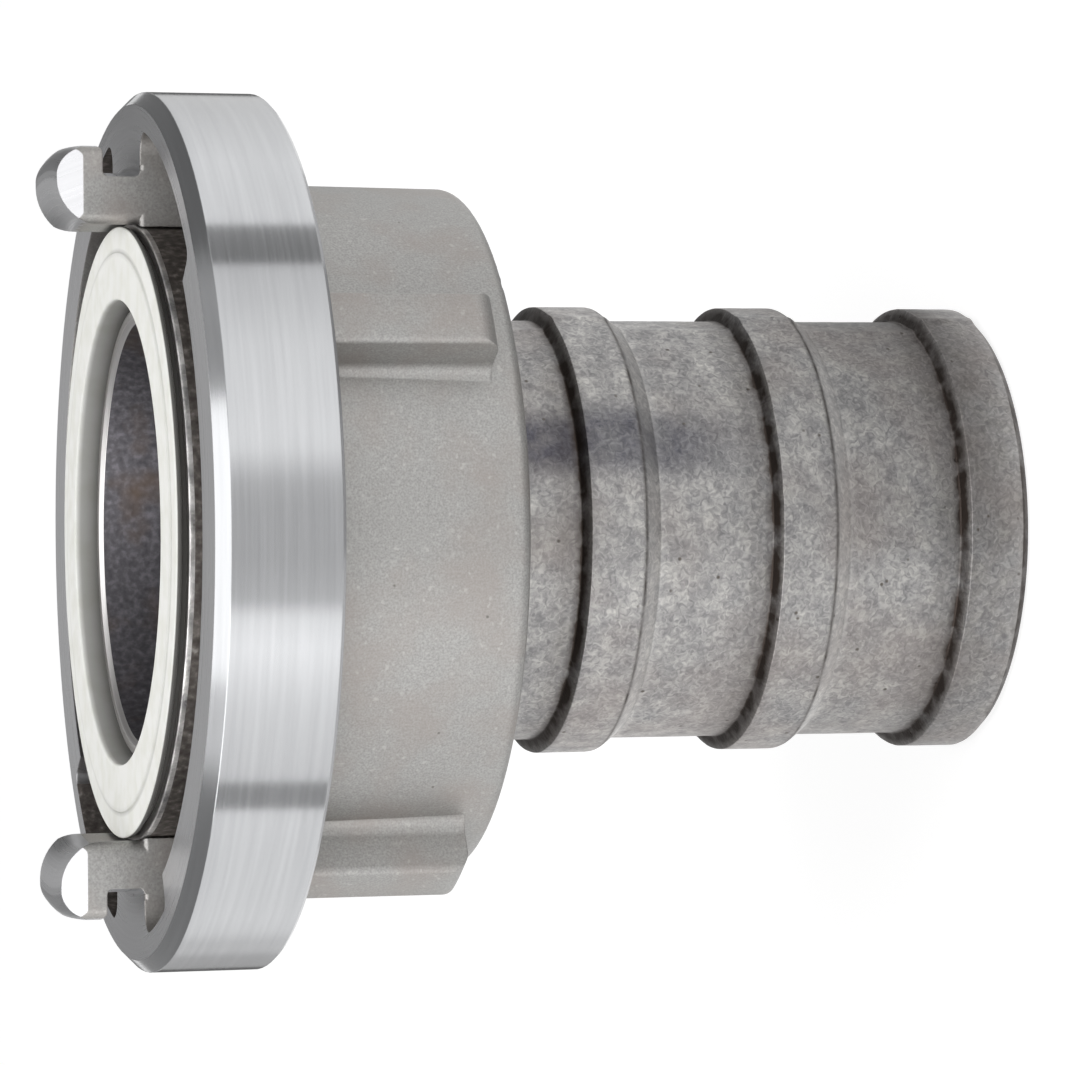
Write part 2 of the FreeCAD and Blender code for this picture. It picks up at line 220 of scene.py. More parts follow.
def blasted_forging():
    """Shot blasted forging, for the hub, the lugs and the claws' sides: a fine even grey grain.

    It has a few small pits and bright nicks, and a faint warm cast where the
    blast left scale. The grain is drawn a little coarser than it is, so that it shows.
    """
    material, tree = new_material("blasted_forging")
    place = add_node(tree, "ShaderNodeTexCoord").outputs["Object"]
    fine = add_node(tree, "ShaderNodeTexNoise", inputs={
        "Vector": place, "Scale": 1 / (0.28 * mm), "Detail": 2.0}).outputs["Fac"]
    cloud = add_node(tree, "ShaderNodeTexNoise", inputs={
        "Vector": place, "Scale": 1 / (9 * mm), "Detail": 2.0}).outputs["Fac"]
    tone = add_node(tree, "ShaderNodeValToRGB", inputs={"Fac": fine})
    set_stops(tone.color_ramp, [(0.3, "#9b9a98"), (0.5, "#a7a6a4"), (0.7, "#b3b2b0")])
    warm = add_node(tree, "ShaderNodeMapRange", inputs={
        "Value": cloud, "From Min": 0.45, "From Max": 0.7, "To Min": 0.0, "To Max": 0.5})
    scaled = add_node(tree, "ShaderNodeMix", {"data_type": "RGBA"}, {
        0: warm.outputs[0], 6: tone.outputs[0], 7: linear("#a39b96")})
    pits = add_node(tree, "ShaderNodeTexVoronoi", inputs={"Vector": place, "Scale": 1 / (5.5 * mm)})
    pit = add_node(tree, "ShaderNodeMapRange", inputs={
        "Value": pits.outputs["Distance"], "From Min": 0.02, "From Max": 0.05, "To Min": 1.0, "To Max": 0.0})
    colour = add_node(tree, "ShaderNodeMix", {"data_type": "RGBA"}, {
        0: pit.outputs[0], 6: scaled.outputs[2], 7: linear("#7f7c78")})
    nicks = add_node(tree, "ShaderNodeTexNoise", inputs={
        "Vector": place, "Scale": 1 / (0.9 * mm), "Detail": 1.0}).outputs["Fac"]
    nick = add_node(tree, "ShaderNodeMapRange", inputs={
        "Value": nicks, "From Min": 0.66, "From Max": 0.76, "To Min": 0.0, "To Max": 0.3})
    worn = add_node(tree, "ShaderNodeMix", {"data_type": "RGBA"}, {
        0: nick.outputs[0], 6: colour.outputs[2], 7: linear("#d2d0cd")})
    height = add_node(tree, "ShaderNodeMath", {"operation": "SUBTRACT"}, {0: fine, 1: pit.outputs[0]})
    edge = add_node(tree, "ShaderNodeBevel", {"samples": 4}, {"Radius": 0.3 * mm})
    bump = add_node(tree, "ShaderNodeBump", inputs={
        "Strength": 0.25, "Distance": 0.07 * mm, "Height": height.outputs[0], "Normal": edge.outputs[0]})
    shader = add_node(tree, "ShaderNodeBsdfPrincipled", inputs={
        "Base Color": worn.outputs[2], "Metallic": 1.0, "Roughness": 0.5, "Normal": bump.outputs[0]})
    add_node(tree, "ShaderNodeOutputMaterial", inputs={"Surface": shader.outputs[0]})
    return material


def painted_shade_skin():
    """Unblasted metal in the channel and on the collar, painted dark brown as painted shade of these
    recesses, with bare specks.
    """
    material, tree = new_material("painted_shade_skin")
    place = add_node(tree, "ShaderNodeTexCoord").outputs["Object"]
    patch = add_node(tree, "ShaderNodeTexNoise", inputs={
        "Vector": place, "Scale": 1 / (1.1 * mm), "Detail": 4.0}).outputs["Fac"]
    tone = add_node(tree, "ShaderNodeValToRGB", inputs={"Fac": patch})
    set_stops(tone.color_ramp, [(0.3, "#5c5652"), (0.52, "#76706c"), (0.66, "#968f8a"), (0.76, "#c4bfba")])
    bump = add_node(tree, "ShaderNodeBump", inputs={
        "Strength": 0.3, "Distance": 0.1 * mm, "Height": patch})
    shader = add_node(tree, "ShaderNodeBsdfPrincipled", inputs={
        "Base Color": tone.outputs[0], "Metallic": 0.85, "Roughness": 0.5, "Normal": bump.outputs[0]})
    add_node(tree, "ShaderNodeOutputMaterial", inputs={"Surface": shader.outputs[0]})
    return material


def casting_skin():
    """Cast aluminium as it left the mould: a mottled light grey with short flow marks and pores.

    Mesh attributes add dark brown painted shade in the barbs' steps and corners,
    a lighter tone on their slopes that is painted light, wear on the collar's rim
    and the end's edge, and a blue-grey darkening along the tube. The painted shade
    and the blue-grey hold unevenly, as the mottle goes.
    """
    material, tree = new_material("casting_skin")
    place = add_node(tree, "ShaderNodeTexCoord").outputs["Object"]
    fine = add_node(tree, "ShaderNodeTexNoise", inputs={
        "Vector": place, "Scale": 1 / (0.9 * mm), "Detail": 3.0, "Distortion": 1.2}).outputs["Fac"]
    mottle = add_node(tree, "ShaderNodeTexNoise", inputs={
        "Vector": place, "Scale": 1 / (3.2 * mm), "Detail": 3.0}).outputs["Fac"]
    cloud = add_node(tree, "ShaderNodeTexNoise", inputs={
        "Vector": place, "Scale": 1 / (16 * mm), "Detail": 2.0}).outputs["Fac"]
    tone = add_node(tree, "ShaderNodeValToRGB", inputs={"Fac": mottle})
    set_stops(tone.color_ramp, [(0.3, "#b1b0b0"), (0.5, "#c1bfbe"), (0.7, "#d2d0cd")])
    speck = add_node(tree, "ShaderNodeValToRGB", inputs={"Fac": fine})
    set_stops(speck.color_ramp, [(0.3, "#a6a6a9"), (0.5, "#d0d0d0"), (0.68, "#f6f6f4")])
    skin = add_node(tree, "ShaderNodeMix", {"data_type": "RGBA", "blend_type": "MULTIPLY"}, {
        0: 0.85, 6: tone.outputs[0], 7: speck.outputs[0]})
    warm = add_node(tree, "ShaderNodeMapRange", inputs={
        "Value": cloud, "From Min": 0.45, "From Max": 0.65, "To Min": 0.0, "To Max": 0.3})
    warmed = add_node(tree, "ShaderNodeMix", {"data_type": "RGBA"}, {
        0: warm.outputs[0], 6: skin.outputs[2], 7: linear("#938680")})
    hold = add_node(tree, "ShaderNodeMath", {"operation": "MULTIPLY_ADD"}, {0: mottle, 1: 2.2, 2: -0.1})
    # A blue-grey darkening in a strip along the tube, from a point attribute.
    blue_darkening = add_node(tree, "ShaderNodeAttribute", {"attribute_name": "blue_darkening"}).outputs["Fac"]
    patchy = add_node(tree, "ShaderNodeMath", {"operation": "MULTIPLY", "use_clamp": True}, {
        0: blue_darkening, 1: hold.outputs[0]})
    blued = add_node(tree, "ShaderNodeMix", {"data_type": "RGBA", "blend_type": "MULTIPLY"}, {
        0: patchy.outputs[0], 6: warmed.outputs[2], 7: linear("#8e8f9c")})
    # Painted light on the barbs' slopes, and wear on the collar's rim and the end's edge: a lighter tone
    # added where the point attribute says.
    wear_and_painted_light = add_node(tree, "ShaderNodeAttribute", {"attribute_name": "wear_and_painted_light"}).outputs["Fac"]
    lightened = add_node(tree, "ShaderNodeMix", {"data_type": "RGBA", "blend_type": "ADD"}, {
        0: wear_and_painted_light, 6: blued.outputs[2], 7: linear("#b4b2b0")})
    pores = add_node(tree, "ShaderNodeTexVoronoi", inputs={"Vector": place, "Scale": 1 / (4 * mm)})
    pore = add_node(tree, "ShaderNodeMapRange", inputs={
        "Value": pores.outputs["Distance"], "From Min": 0.04, "From Max": 0.09, "To Min": 1.0, "To Max": 0.0})
    pored = add_node(tree, "ShaderNodeMix", {"data_type": "RGBA"}, {
        0: pore.outputs[0], 6: lightened.outputs[2], 7: linear("#6a6560")})
    # Painted shade: a dark brown mixed in where the point attribute marks the barbs' steps, land ends and the
    # last land.
    painted_shade = add_node(tree, "ShaderNodeAttribute", {"attribute_name": "painted_shade"}).outputs["Fac"]
    mottled_shade = add_node(tree, "ShaderNodeMath", {"operation": "MULTIPLY", "use_clamp": True}, {
        0: painted_shade, 1: hold.outputs[0]})
    colour = add_node(tree, "ShaderNodeMix", {"data_type": "RGBA"}, {
        0: mottled_shade.outputs[0], 6: pored.outputs[2], 7: linear("#3e3733")})
    height = add_node(tree, "ShaderNodeMath", {"operation": "SUBTRACT"}, {0: fine, 1: pore.outputs[0]})
    bump = add_node(tree, "ShaderNodeBump", inputs={
        "Strength": 0.45, "Distance": 0.14 * mm, "Height": height.outputs[0]})
    rough = add_node(tree, "ShaderNodeMapRange", inputs={
        "Value": mottle, "From Min": 0.3, "From Max": 0.7, "To Min": 0.52, "To Max": 0.4})
    shader = add_node(tree, "ShaderNodeBsdfPrincipled", inputs={
        "Base Color": colour.outputs[2], "Metallic": 0.95, "Roughness": rough.outputs[0],
        "Normal": bump.outputs[0]})
    add_node(tree, "ShaderNodeOutputMaterial", inputs={"Surface": shader.outputs[0]})
    return material


def waterway_skin():
    """Bore of the casting: a dull blue-grey oxide that water has left, with brown patches."""
    material, tree = new_material("waterway_skin")
    place = add_node(tree, "ShaderNodeTexCoord").outputs["Object"]
    fine = add_node(tree, "ShaderNodeTexNoise", inputs={
        "Vector": place, "Scale": 1 / (1.0 * mm), "Detail": 3.0}).outputs["Fac"]
    cloud = add_node(tree, "ShaderNodeTexNoise", inputs={
        "Vector": place, "Scale": 1 / (9 * mm), "Detail": 3.0}).outputs["Fac"]
    tone = add_node(tree, "ShaderNodeValToRGB", inputs={"Fac": fine})
    set_stops(tone.color_ramp, [(0.3, "#504e52"), (0.5, "#5f5d61"), (0.72, "#77747a")])
    brown = add_node(tree, "ShaderNodeMapRange", inputs={
        "Value": cloud, "From Min": 0.5, "From Max": 0.72, "To Min": 0.0, "To Max": 0.8})
    colour = add_node(tree, "ShaderNodeMix", {"data_type": "RGBA"}, {
        0: brown.outputs[0], 6: tone.outputs[0], 7: linear("#635448")})
    bump = add_node(tree, "ShaderNodeBump", inputs={
        "Strength": 0.3, "Distance": 0.1 * mm, "Height": fine})
    shader = add_node(tree, "ShaderNodeBsdfPrincipled", inputs={
        "Base Color": colour.outputs[2], "Metallic": 0.9, "Roughness": 0.5, "Normal": bump.outputs[0]})
    add_node(tree, "ShaderNodeOutputMaterial", inputs={"Surface": shader.outputs[0]})
    return material


def faced_casting():
    """Faced casting, for the mouth's edge, the seat and the ends: bright, cut in fine rings."""
    material, tree = new_material("faced_casting")
    coarse, fine = turning_lines(tree, 1.2 * mm, 0.35 * mm)
    tone = add_node(tree, "ShaderNodeValToRGB", inputs={"Fac": coarse})
    set_stops(tone.color_ramp, [(0.3, "#bdbab9"), (0.7, "#dcdad9")])
    bump = add_node(tree, "ShaderNodeBump", inputs={
        "Strength": 0.2, "Distance": 0.08 * mm, "Height": fine})
    shader = add_node(tree, "ShaderNodeBsdfPrincipled", inputs={
        "Base Color": tone.outputs[0], "Metallic": 1.0, "Roughness": 0.34, "Normal": bump.outputs[0]})
    add_node(tree, "ShaderNodeOutputMaterial", inputs={"Surface": shader.outputs[0]})
    return material


def moulded_rubber():
    """Moulded nitrile rubber for clean water: off-white and matt, with dark painted shade where its point
    attribute marks it.
    """
    material, tree = new_material("moulded_rubber")
    place = add_node(tree, "ShaderNodeTexCoord").outputs["Object"]
    dust = add_node(tree, "ShaderNodeTexNoise", inputs={
        "Vector": place, "Scale": 1 / (4 * mm), "Detail": 3.0}).outputs["Fac"]
    fine = add_node(tree, "ShaderNodeTexNoise", inputs={
        "Vector": place, "Scale": 1 / (0.4 * mm), "Detail": 2.0}).outputs["Fac"]
    tone = add_node(tree, "ShaderNodeValToRGB", inputs={"Fac": dust})
    set_stops(tone.color_ramp, [(0.35, "#e7e7e0"), (0.6, "#efefeb")])
    painted_shade = add_node(tree, "ShaderNodeAttribute", {"attribute_name": "painted_shade"}).outputs["Fac"]
    colour = add_node(tree, "ShaderNodeMix", {"data_type": "RGBA"}, {
        0: painted_shade, 6: tone.outputs[0], 7: linear("#2f2c29")})
    bump = add_node(tree, "ShaderNodeBump", inputs={
        "Strength": 0.1, "Distance": 0.04 * mm, "Height": fine})
    shader = add_node(tree, "ShaderNodeBsdfPrincipled", inputs={
        "Base Color": colour.outputs[2], "Roughness": 0.62, "Specular IOR Level": 0.3,
        "Normal": bump.outputs[0]})
    add_node(tree, "ShaderNodeOutputMaterial", inputs={"Surface": shader.outputs[0]})
    return material


def spring_steel():
    """Drawn spring wire: a smooth grey with faint marks along the drawing, round the ring."""
    material, tree = new_material("drawn_spring_wire")
    coarse, fine = turning_lines(tree, 0.5 * mm, 0.15 * mm)
    tone = add_node(tree, "ShaderNodeValToRGB", inputs={"Fac": coarse})
    set_stops(tone.color_ramp, [(0.3, "#8b8c8e"), (0.7, "#a6a7a9")])
    bump = add_node(tree, "ShaderNodeBump", inputs={
        "Strength": 0.1, "Distance": 0.03 * mm, "Height": fine})
    shader = add_node(tree, "ShaderNodeBsdfPrincipled", inputs={
        "Base Color": tone.outputs[0], "Metallic": 1.0, "Roughness": 0.3, "Normal": bump.outputs[0]})
    add_node(tree, "ShaderNodeOutputMaterial", inputs={"Surface": shader.outputs[0]})
    return material


# Meshes

# Columns of a mesh that is turned once round the axis, and of a sheet in the studio
around, sheet_columns = 288, 24


def put_in_scene(name, points, faces, materials, zones):
    """Smooth mesh object from arrays, with the number of a material for each face."""
    mesh = bpy.data.meshes.new(name)
    mesh.from_pydata(points.tolist(), [], faces.tolist())
    piece = bpy.data.objects.new(name, mesh)
    bpy.context.scene.collection.objects.link(piece)
    for material in materials:
        mesh.materials.append(material)
    mesh.polygons.foreach_set("material_index", np.asarray(zones, np.int32))
    mesh.shade_smooth()
    mesh.update()
    return piece


def rounded_outline(corners, spacing, bore_radius=0):
    """Closed outline in radius and height, from corners (radius, height, rounding).

    A corner becomes a tangent arc: it leaves both runs at rounding * tan(turn / 2)
    from the corner, and its points are spread evenly over the turn. The runs
    between the arcs are then filled to the spacing. Inside the bore radius,
    where nothing waves, the points are wider apart.
    """
    bore_spacing = 8 * mm
    places = np.array([corner[:2] for corner in corners], float)
    runs = np.roll(places, -1, 0) - places
    ways = runs / np.linalg.norm(runs, axis=1, keepdims=True)
    stretches = []
    for index, (_, _, rounding) in enumerate(corners):
        way_in, way_out = ways[index - 1], ways[index]
        turn = np.arctan2(way_in[0] * way_out[1] - way_in[1] * way_out[0], way_in @ way_out)
        spoke = np.sign(turn) * rounding * np.array([-way_in[1], way_in[0]])
        centre = places[index] - way_in * rounding * np.tan(abs(turn) / 2) + spoke
        steps = np.linspace(0, turn, 5 if rounding else 1)
        stretches.append(centre - np.stack([
            spoke[0] * np.cos(steps) - spoke[1] * np.sin(steps),
            spoke[0] * np.sin(steps) + spoke[1] * np.cos(steps)], 1))
    outline = np.concatenate(stretches)
    ahead = np.roll(outline, -1, 0)
    in_bore = np.maximum(outline[:, 0], ahead[:, 0]) < bore_radius
    gaps = np.linalg.norm(ahead - outline, axis=1) / np.where(in_bore, bore_spacing, spacing)
    counts = np.maximum(1, np.ceil(gaps).astype(int))
    first = np.repeat(np.arange(len(outline)), counts)
    share = np.concatenate([np.arange(count) / count for count in counts])[:, None]
    return outline[first] * (1 - share) + ahead[first] * share


def turned_grid(outline):
    """Radius, height and angle of every point of an outline carried once round the axis."""
    angles = np.linspace(0, 2 * np.pi, around, endpoint=False)
    radius, angle = np.meshgrid(outline[:, 0], angles, indexing="ij")
    height = np.repeat(outline[:, 1:2], around, axis=1)
    return radius, height, angle


def closed_grid(radius, height, angle):
    """Points and four-sided faces of a grid that closes on itself both ways.

    A point is radius * (cos angle, -sin angle) at its height. The outline runs
    anticlockwise in radius and height, which turns the faces outwards.
    """
    points = np.stack([radius * np.cos(angle), -radius * np.sin(angle), height], -1).reshape(-1, 3)
    rows, columns = radius.shape
    numbers = np.arange(rows * columns).reshape(rows, columns)
    down, right = np.roll(numbers, -1, 0), np.roll(numbers, -1, 1)
    both = np.roll(down, -1, 1)
    faces = np.stack([numbers, down, both, right], -1).reshape(-1, 4)
    return points, faces


def mark_points(piece, name, amounts):
    """Stores an amount from 0 to 1 for each point, such as its painted shade, for the material to read."""
    piece.data.attributes.new(name, "FLOAT", "POINT").data.foreach_set("value", amounts.reshape(-1))


def cast_relief(angle, height, size, seed):
    """Relief from -1 to 1: eight sines, each in whole turns round the axis and in height."""
    generator = np.random.default_rng(seed)
    total = np.zeros_like(angle)
    for _ in range(8):
        turns = generator.integers(1, int(2 * np.pi * tube_radius / size))
        rate = generator.uniform(-1, 1) * 2 * np.pi / size
        total += np.sin(turns * angle + rate * height + generator.uniform(0, 2 * np.pi)) / 8
    return total


# Claw ring

def welded(node):
    """Points, triangles and corner normals of a CAD node, with its doubled points made one."""
    mesh = frame["nodes"][node].data
    points = np.empty(len(mesh.vertices) * 3)
    mesh.vertices.foreach_get("co", points)
    corners = np.empty(len(mesh.loops), np.int32)
    mesh.loops.foreach_get("vertex_index", corners)
    normals = np.empty(len(mesh.loops) * 3)
    mesh.corner_normals.foreach_get("vector", normals)
    points = points.reshape(-1, 3)
    _, kept, number = np.unique(np.round(points / (0.0005 * mm)).astype(np.int64), axis=0,
                                return_index=True, return_inverse=True)
    faces = number.reshape(-1)[corners].reshape(-1, 3)
    normals = normals.reshape(-1, 3, 3)
    whole = (faces != np.roll(faces, 1, axis=1)).all(1)
    return points[kept], faces[whole], normals[whole]


def claw_ring():
    """The CAD ring with its exact normals, and a finish for each surface that is cut or left; the channel's
    wall and floor get painted shade.
    """
    points, faces, normals = welded("claw_ring")
    corners = points[faces]
    radii = np.hypot(corners[..., 0], corners[..., 1])
    inner, outer = radii.min(1), radii.max(1)
    low, high = corners[..., 2].min(1), corners[..., 2].max(1)
    width = np.abs(corners[..., 1]).max(1)
    facing = np.cross(corners[:, 1] - corners[:, 0], corners[:, 2] - corners[:, 0])
    facing /= np.linalg.norm(facing, axis=1, keepdims=True) + 1e-20
    near = 0.02 * mm
    level, sideways = np.abs(facing[:, 2]), np.abs(facing[:, 1])
    rim = (inner > ring_radius - front_bevel - near) & (level < 0.95) & (high < flange + near)
    face = (low > flange - near) & (high < flange + near) & (facing[:, 2] > 0.95)
    nose = (low > claw_hook_back - near) & (sideways < 0.5)
    bevel = (low > claw_bevel_start - near) & (sideways >= 0.5)
    notch = (inner > claw_neck_radius - near) & (outer < claw_hook_radius + near) & (sideways < 0.4)
    notch &= (low > flange - near) & (high < claw_hook_back + claw_hook_round + near)
    in_channel = (low > channel_floor - near) & (high < flange - lip_thickness + near)
    wall = (inner > channel_radius - near) & (outer < channel_radius + near) & (level < 0.5)
    flat = in_channel & (outer < channel_radius + near) & (level > 0.95)
    lip = (low > flange - lip_thickness - near) & (high < flange + near) & (level < 0.5)
    lip_cut = lip & (inner > lip_radius - near) & (outer < channel_radius + near)
    claw_side = (sideways > 0.4) & (width < claw_root_reach + near)
    # The channel's wall and floor, zone 3, take the dark brown of painted shade.
    zones = np.select(
        [rim, face | nose | bevel | notch, claw_side, wall & (high < flange + near) | flat, lip_cut],
        [1, 2, 0, 3, 2], 0)
    materials = [blasted_forging(), turned_aluminium(), faced_aluminium(), painted_shade_skin()]
    piece = put_in_scene("claw_ring_finish", points, faces, materials, zones)
    piece.data.normals_split_custom_set(normals.reshape(-1, 3).tolist())
    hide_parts("claw_ring")
    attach(piece, "ring")


# Hose tail

def tail_corners():
    """The tail's outline from the seal's seat round the outside: (radius, height, rounding)."""
    edge, fillet = 0.2 * mm, 0.4 * mm
    seat_floor = flange - seat_depth
    groove = guide_rear + guide_thickness / 2
    mouth_edge = flange - mouth_edge_depth
    corners = [
        (seat_inner_radius, seat_floor, edge), (seat_outer_radius, seat_floor, edge),
        (seat_outer_radius, flange, edge), (collar_radius, flange, edge),
        (collar_radius, flange - collar_rim, 0), (collar_radius, flange - collar_thickness, edge),
        (waist_radius, flange - collar_thickness - flank_slope, fillet),
        (waist_radius, guide_rear + guide_thickness + flank_slope, fillet),
        (collar_radius, guide_rear + guide_thickness, edge),
        (collar_radius, groove + groove_half, edge), (groove_radius, groove + groove_half, edge),
        (groove_radius, groove - groove_half, edge), (collar_radius, groove - groove_half, edge),
        (collar_radius, guide_rear, edge), (neck_radius, guide_rear, edge),
        (neck_radius, neck_end, fillet), (tube_radius, neck_end - neck_radius + tube_radius, fillet),
    ]
    for root in reversed(barb_roots):
        corners += [(tube_radius, root, fillet), (barb_radius, root - barb_step, edge)]
        if root > barb_roots[0]:
            corners += [
                (barb_radius, root - barb_length, barb_shoulder_round),
                (tube_radius, root - barb_length - barb_slope, fillet),
            ]
    corners += [
        (barb_radius, tail_end_bevel, edge), (barb_radius - tail_end_bevel, 0, edge),
        (waterway_radius + tail_end_bevel / 2, 0, edge), (waterway_radius, tail_end_bevel / 2, edge),
        (waterway_radius, mouth_edge - mouth_taper_length, fillet),
        (mouth_radius, mouth_edge - edge_break, edge), (mouth_radius + edge_break, mouth_edge, edge),
        (seat_inner_radius, mouth_edge, edge),
    ]
    return corners[::-1]


def barb_shade(height):
    """Painted shade from 0 to 1, dark where shade falls: exp(-(distance / reach)^2) from each step and land's
    end, and on the last land.
    """
    # Amount, height over the step's root and reach: in the step, at its foot, and at the land's end
    marks = [(0.95, -0.2 * mm, 0.55 * mm), (0.3, 1.5 * mm, 2.5 * mm), (0.7, -barb_length, 0.28 * mm)]
    painted_shade = np.zeros_like(height)
    for root in barb_roots:
        for amount, above_root, reach in marks:
            painted_shade += amount * np.exp(-((height - root - above_root) / reach) ** 2)
    painted_shade += 0.25 * (height < barb_roots[0] - barb_step) + 0.5 * (height < tail_end_bevel)
    return np.minimum(painted_shade, 1)


def barb_painted_light_and_wear(height):
    """Lightening from 0 to 1: painted light on the slope behind each land, where it would reflect the shaded
    tube below, and wear on the edge of the tail's end.
    """
    wear_and_painted_light = np.zeros_like(height)
    for root in barb_roots[1:]:
        middle = root - barb_length - barb_slope / 2
        wear_and_painted_light += 0.45 * np.exp(-((height - middle) / (0.55 * barb_slope)) ** 4)
    wear_and_painted_light += 0.4 * np.exp(-((height - tail_end_bevel) / (0.3 * mm)) ** 2)
    return wear_and_painted_light


def blue_darkening_strip(angle, height):
    """Blue-grey darkening from 0 to 0.8 in a strip along the camera's side of the tube, less away from the
    hub.
    """
    middle, half_width = np.radians(66.5), np.radians(9)
    foot, fade = 37 * mm, 22 * mm
    across = np.exp(-((angle - middle) / half_width) ** 4)
    return across * np.clip((height - foot) / fade, 0, 0.8)


def hose_tail():
    """The cast tail, turned round its outline, with the mould's slight waves on the tube.

    The radius outside the tube gains two reliefs, and a ridge on the mould's
    parting line, which falls away as exp(-(turn / parting_reach)^2). The
    collar's rim is rubbed bright in spots.
    """
    parting_height, parting_reach = 0.3 * mm, 0.04
    outline = rounded_outline(tail_corners(), 1.0 * mm, mouth_radius + 0.1 * mm)
    radius, height, angle = turned_grid(outline)
    skin = (radius > mouth_radius + 0.1 * mm) & (height < neck_end)
    rim = (radius > collar_radius - 0.3 * mm) & (height > flange - collar_rim - 0.1 * mm)
    spots = np.clip(0.5 + 1.5 * cast_relief(angle, height, 3 * mm, 5), 0, 1)
    relief = cast_relief(angle, height, 7 * mm, 3) * 0.06 * mm
    relief += cast_relief(angle, height, 3 * mm, 4) * 0.03 * mm
    from_parting = np.abs((angle - np.radians(21) + np.pi / 2) % np.pi - np.pi / 2)
    relief += parting_height * np.exp(-(from_parting / parting_reach) ** 2)
    relief *= skin & (height > tail_end_bevel)
    points, faces = closed_grid(radius + relief, height, angle)
    ring_mid = (radius[:, 0] + np.roll(radius[:, 0], -1)) / 2
    height_mid = (height[:, 0] + np.roll(height[:, 0], -1)) / 2
    bore = (ring_mid < mouth_radius) & (height_mid < flange - mouth_edge_depth - edge_break)
    cut = (height_mid > flange - seat_depth) & (ring_mid < seat_outer_radius + 0.1 * mm)
    cut |= (height_mid > flange - 0.2 * mm) | (height_mid < 0.02 * mm)
    worn = (ring_mid > collar_radius - 0.3 * mm) & (height_mid > flange - collar_rim)
    # Zone 3, the collar and the faces above the neck, takes the dark brown of painted shade.
    zones = np.select(
        [bore & (height_mid > tail_end_bevel), worn, cut, height_mid > neck_end], [1, 0, 2, 3], 0)
    materials = [casting_skin(), waterway_skin(), faced_casting(), painted_shade_skin()]
    piece = put_in_scene("hose_tail_finish", points, faces, materials, np.repeat(zones, around))
    # Painted shade in the barbs' steps and corners, painted light on their slopes with wear on the rim, and a
    # blue-grey darkening along the tube.
    mark_points(piece, "painted_shade", barb_shade(height) * skin)
    mark_points(piece, "wear_and_painted_light", barb_painted_light_and_wear(height) * skin + spots * rim)
    mark_points(piece, "blue_darkening", blue_darkening_strip(angle, height) * skin)
    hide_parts("hose_tail")
    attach(piece, "tail")


# Face seal

def face_seal():
    """The rubber ring, turned round its outline, with its moulded step and soft edges."""
    front = seal_high.z
    bead_front = front - seal_step
    bead_back = bead_front - seal_bead_thickness
    bead_radius = seal_high.y
    step_radius = bead_radius - seal_step_inset
    soft = 0.3 * mm
    corners = [
        (seal_inner_radius, seal_low.z, soft), (seal_body_radius, seal_low.z, soft),
        (seal_body_radius, bead_back, 0.1 * mm), (bead_radius, bead_back, 0.2 * mm),
        (bead_radius, bead_front, seal_round), (step_radius, bead_front, 0.1 * mm),
        (step_radius - seal_step, front, 0.1 * mm), (seal_inner_radius, front, seal_round),
    ]
    radius, height, angle = turned_grid(rounded_outline(corners, 0.6 * mm))
    points, faces = closed_grid(radius, height, angle)
    piece = put_in_scene("face_seal_finish", points, faces, [moulded_rubber()], np.zeros(len(faces)))
    # Painted shade, dark where shade falls: deeper in the bore, under the bead, in the step's crease and at
    # the bead's outer edge.
    inside = radius < seal_inner_radius + 0.1 * mm
    depth = np.clip((front - height) / (3.2 * mm), 0, 1)
    outside = (radius < bead_radius - 0.3 * mm) & (radius > seal_body_radius - soft)
    under = outside & (height < bead_back + 0.1 * mm)
    crease = 0.3 * np.exp(-((radius - step_radius) / (0.25 * mm)) ** 2) * (height > bead_back)
    crease += 0.85 * (radius > bead_radius - 0.1 * mm)
    bore_shade = inside * (0.3 + 0.51 * depth) * (depth > 0.12)
    mark_points(piece, "painted_shade", np.maximum(bore_shade, under * 0.9 + crease))
    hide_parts("face_seal")
    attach(piece, "tail")


claw_ring()
hose_tail()
face_seal()
wire = frame["nodes"]["retaining_wire"]
for material_slot in wire.material_slots:
    material_slot.material = spring_steel()


# Studio

def only_for_reflections(piece):
    """Hides a card from everything but glossy rays."""
    piece.visible_camera = False
    piece.visible_diffuse = False
    piece.visible_shadow = False
    piece.visible_transmission = False
    piece.visible_volume_scatter = False


def card(name, stops, distance, low, high, lean=0):
    """Upright curved card round the object, that shows only in reflections.

    Its stops are pairs of an angle and a brightness, and the brightness is
    straight between them. Its top edge is turned by lean degrees from its foot.
    """
    places, levels = zip(*stops)
    columns = np.linspace(places[0], places[-1], 2 + int(places[-1] - places[0]))
    angle, height = np.meshgrid(columns, (low, high))
    angle = np.radians(angle + lean * (height > low))
    points = np.stack([distance * np.cos(angle), -distance * np.sin(angle), height], -1)
    glowing_sheet(name, points, np.interp(columns, places, levels))


def disc(name, first, last, inner, outer, brightness):
    """Part of a flat ring round the object, just over the floor, that shows only in reflections."""
    angle, radius = np.meshgrid(np.radians(np.linspace(first, last, sheet_columns)), (inner, outer))
    points = np.stack([radius * np.cos(angle), -radius * np.sin(angle), np.full_like(angle, 0.5 * mm)], -1)
    glowing_sheet(name, points, np.full(sheet_columns, brightness))


def arch(name, lower, upper, first, last, distance, brightness):
    """Sheet bent over the object: from an elevation on the camera's side, up and over to another."""
    elevation, across = np.meshgrid(np.radians(np.linspace(first, last, sheet_columns)), (upper, lower))
    points = np.stack([across, -distance * np.cos(elevation), flange + distance * np.sin(elevation)], -1)
    glowing_sheet(name, points, np.full(sheet_columns, brightness))


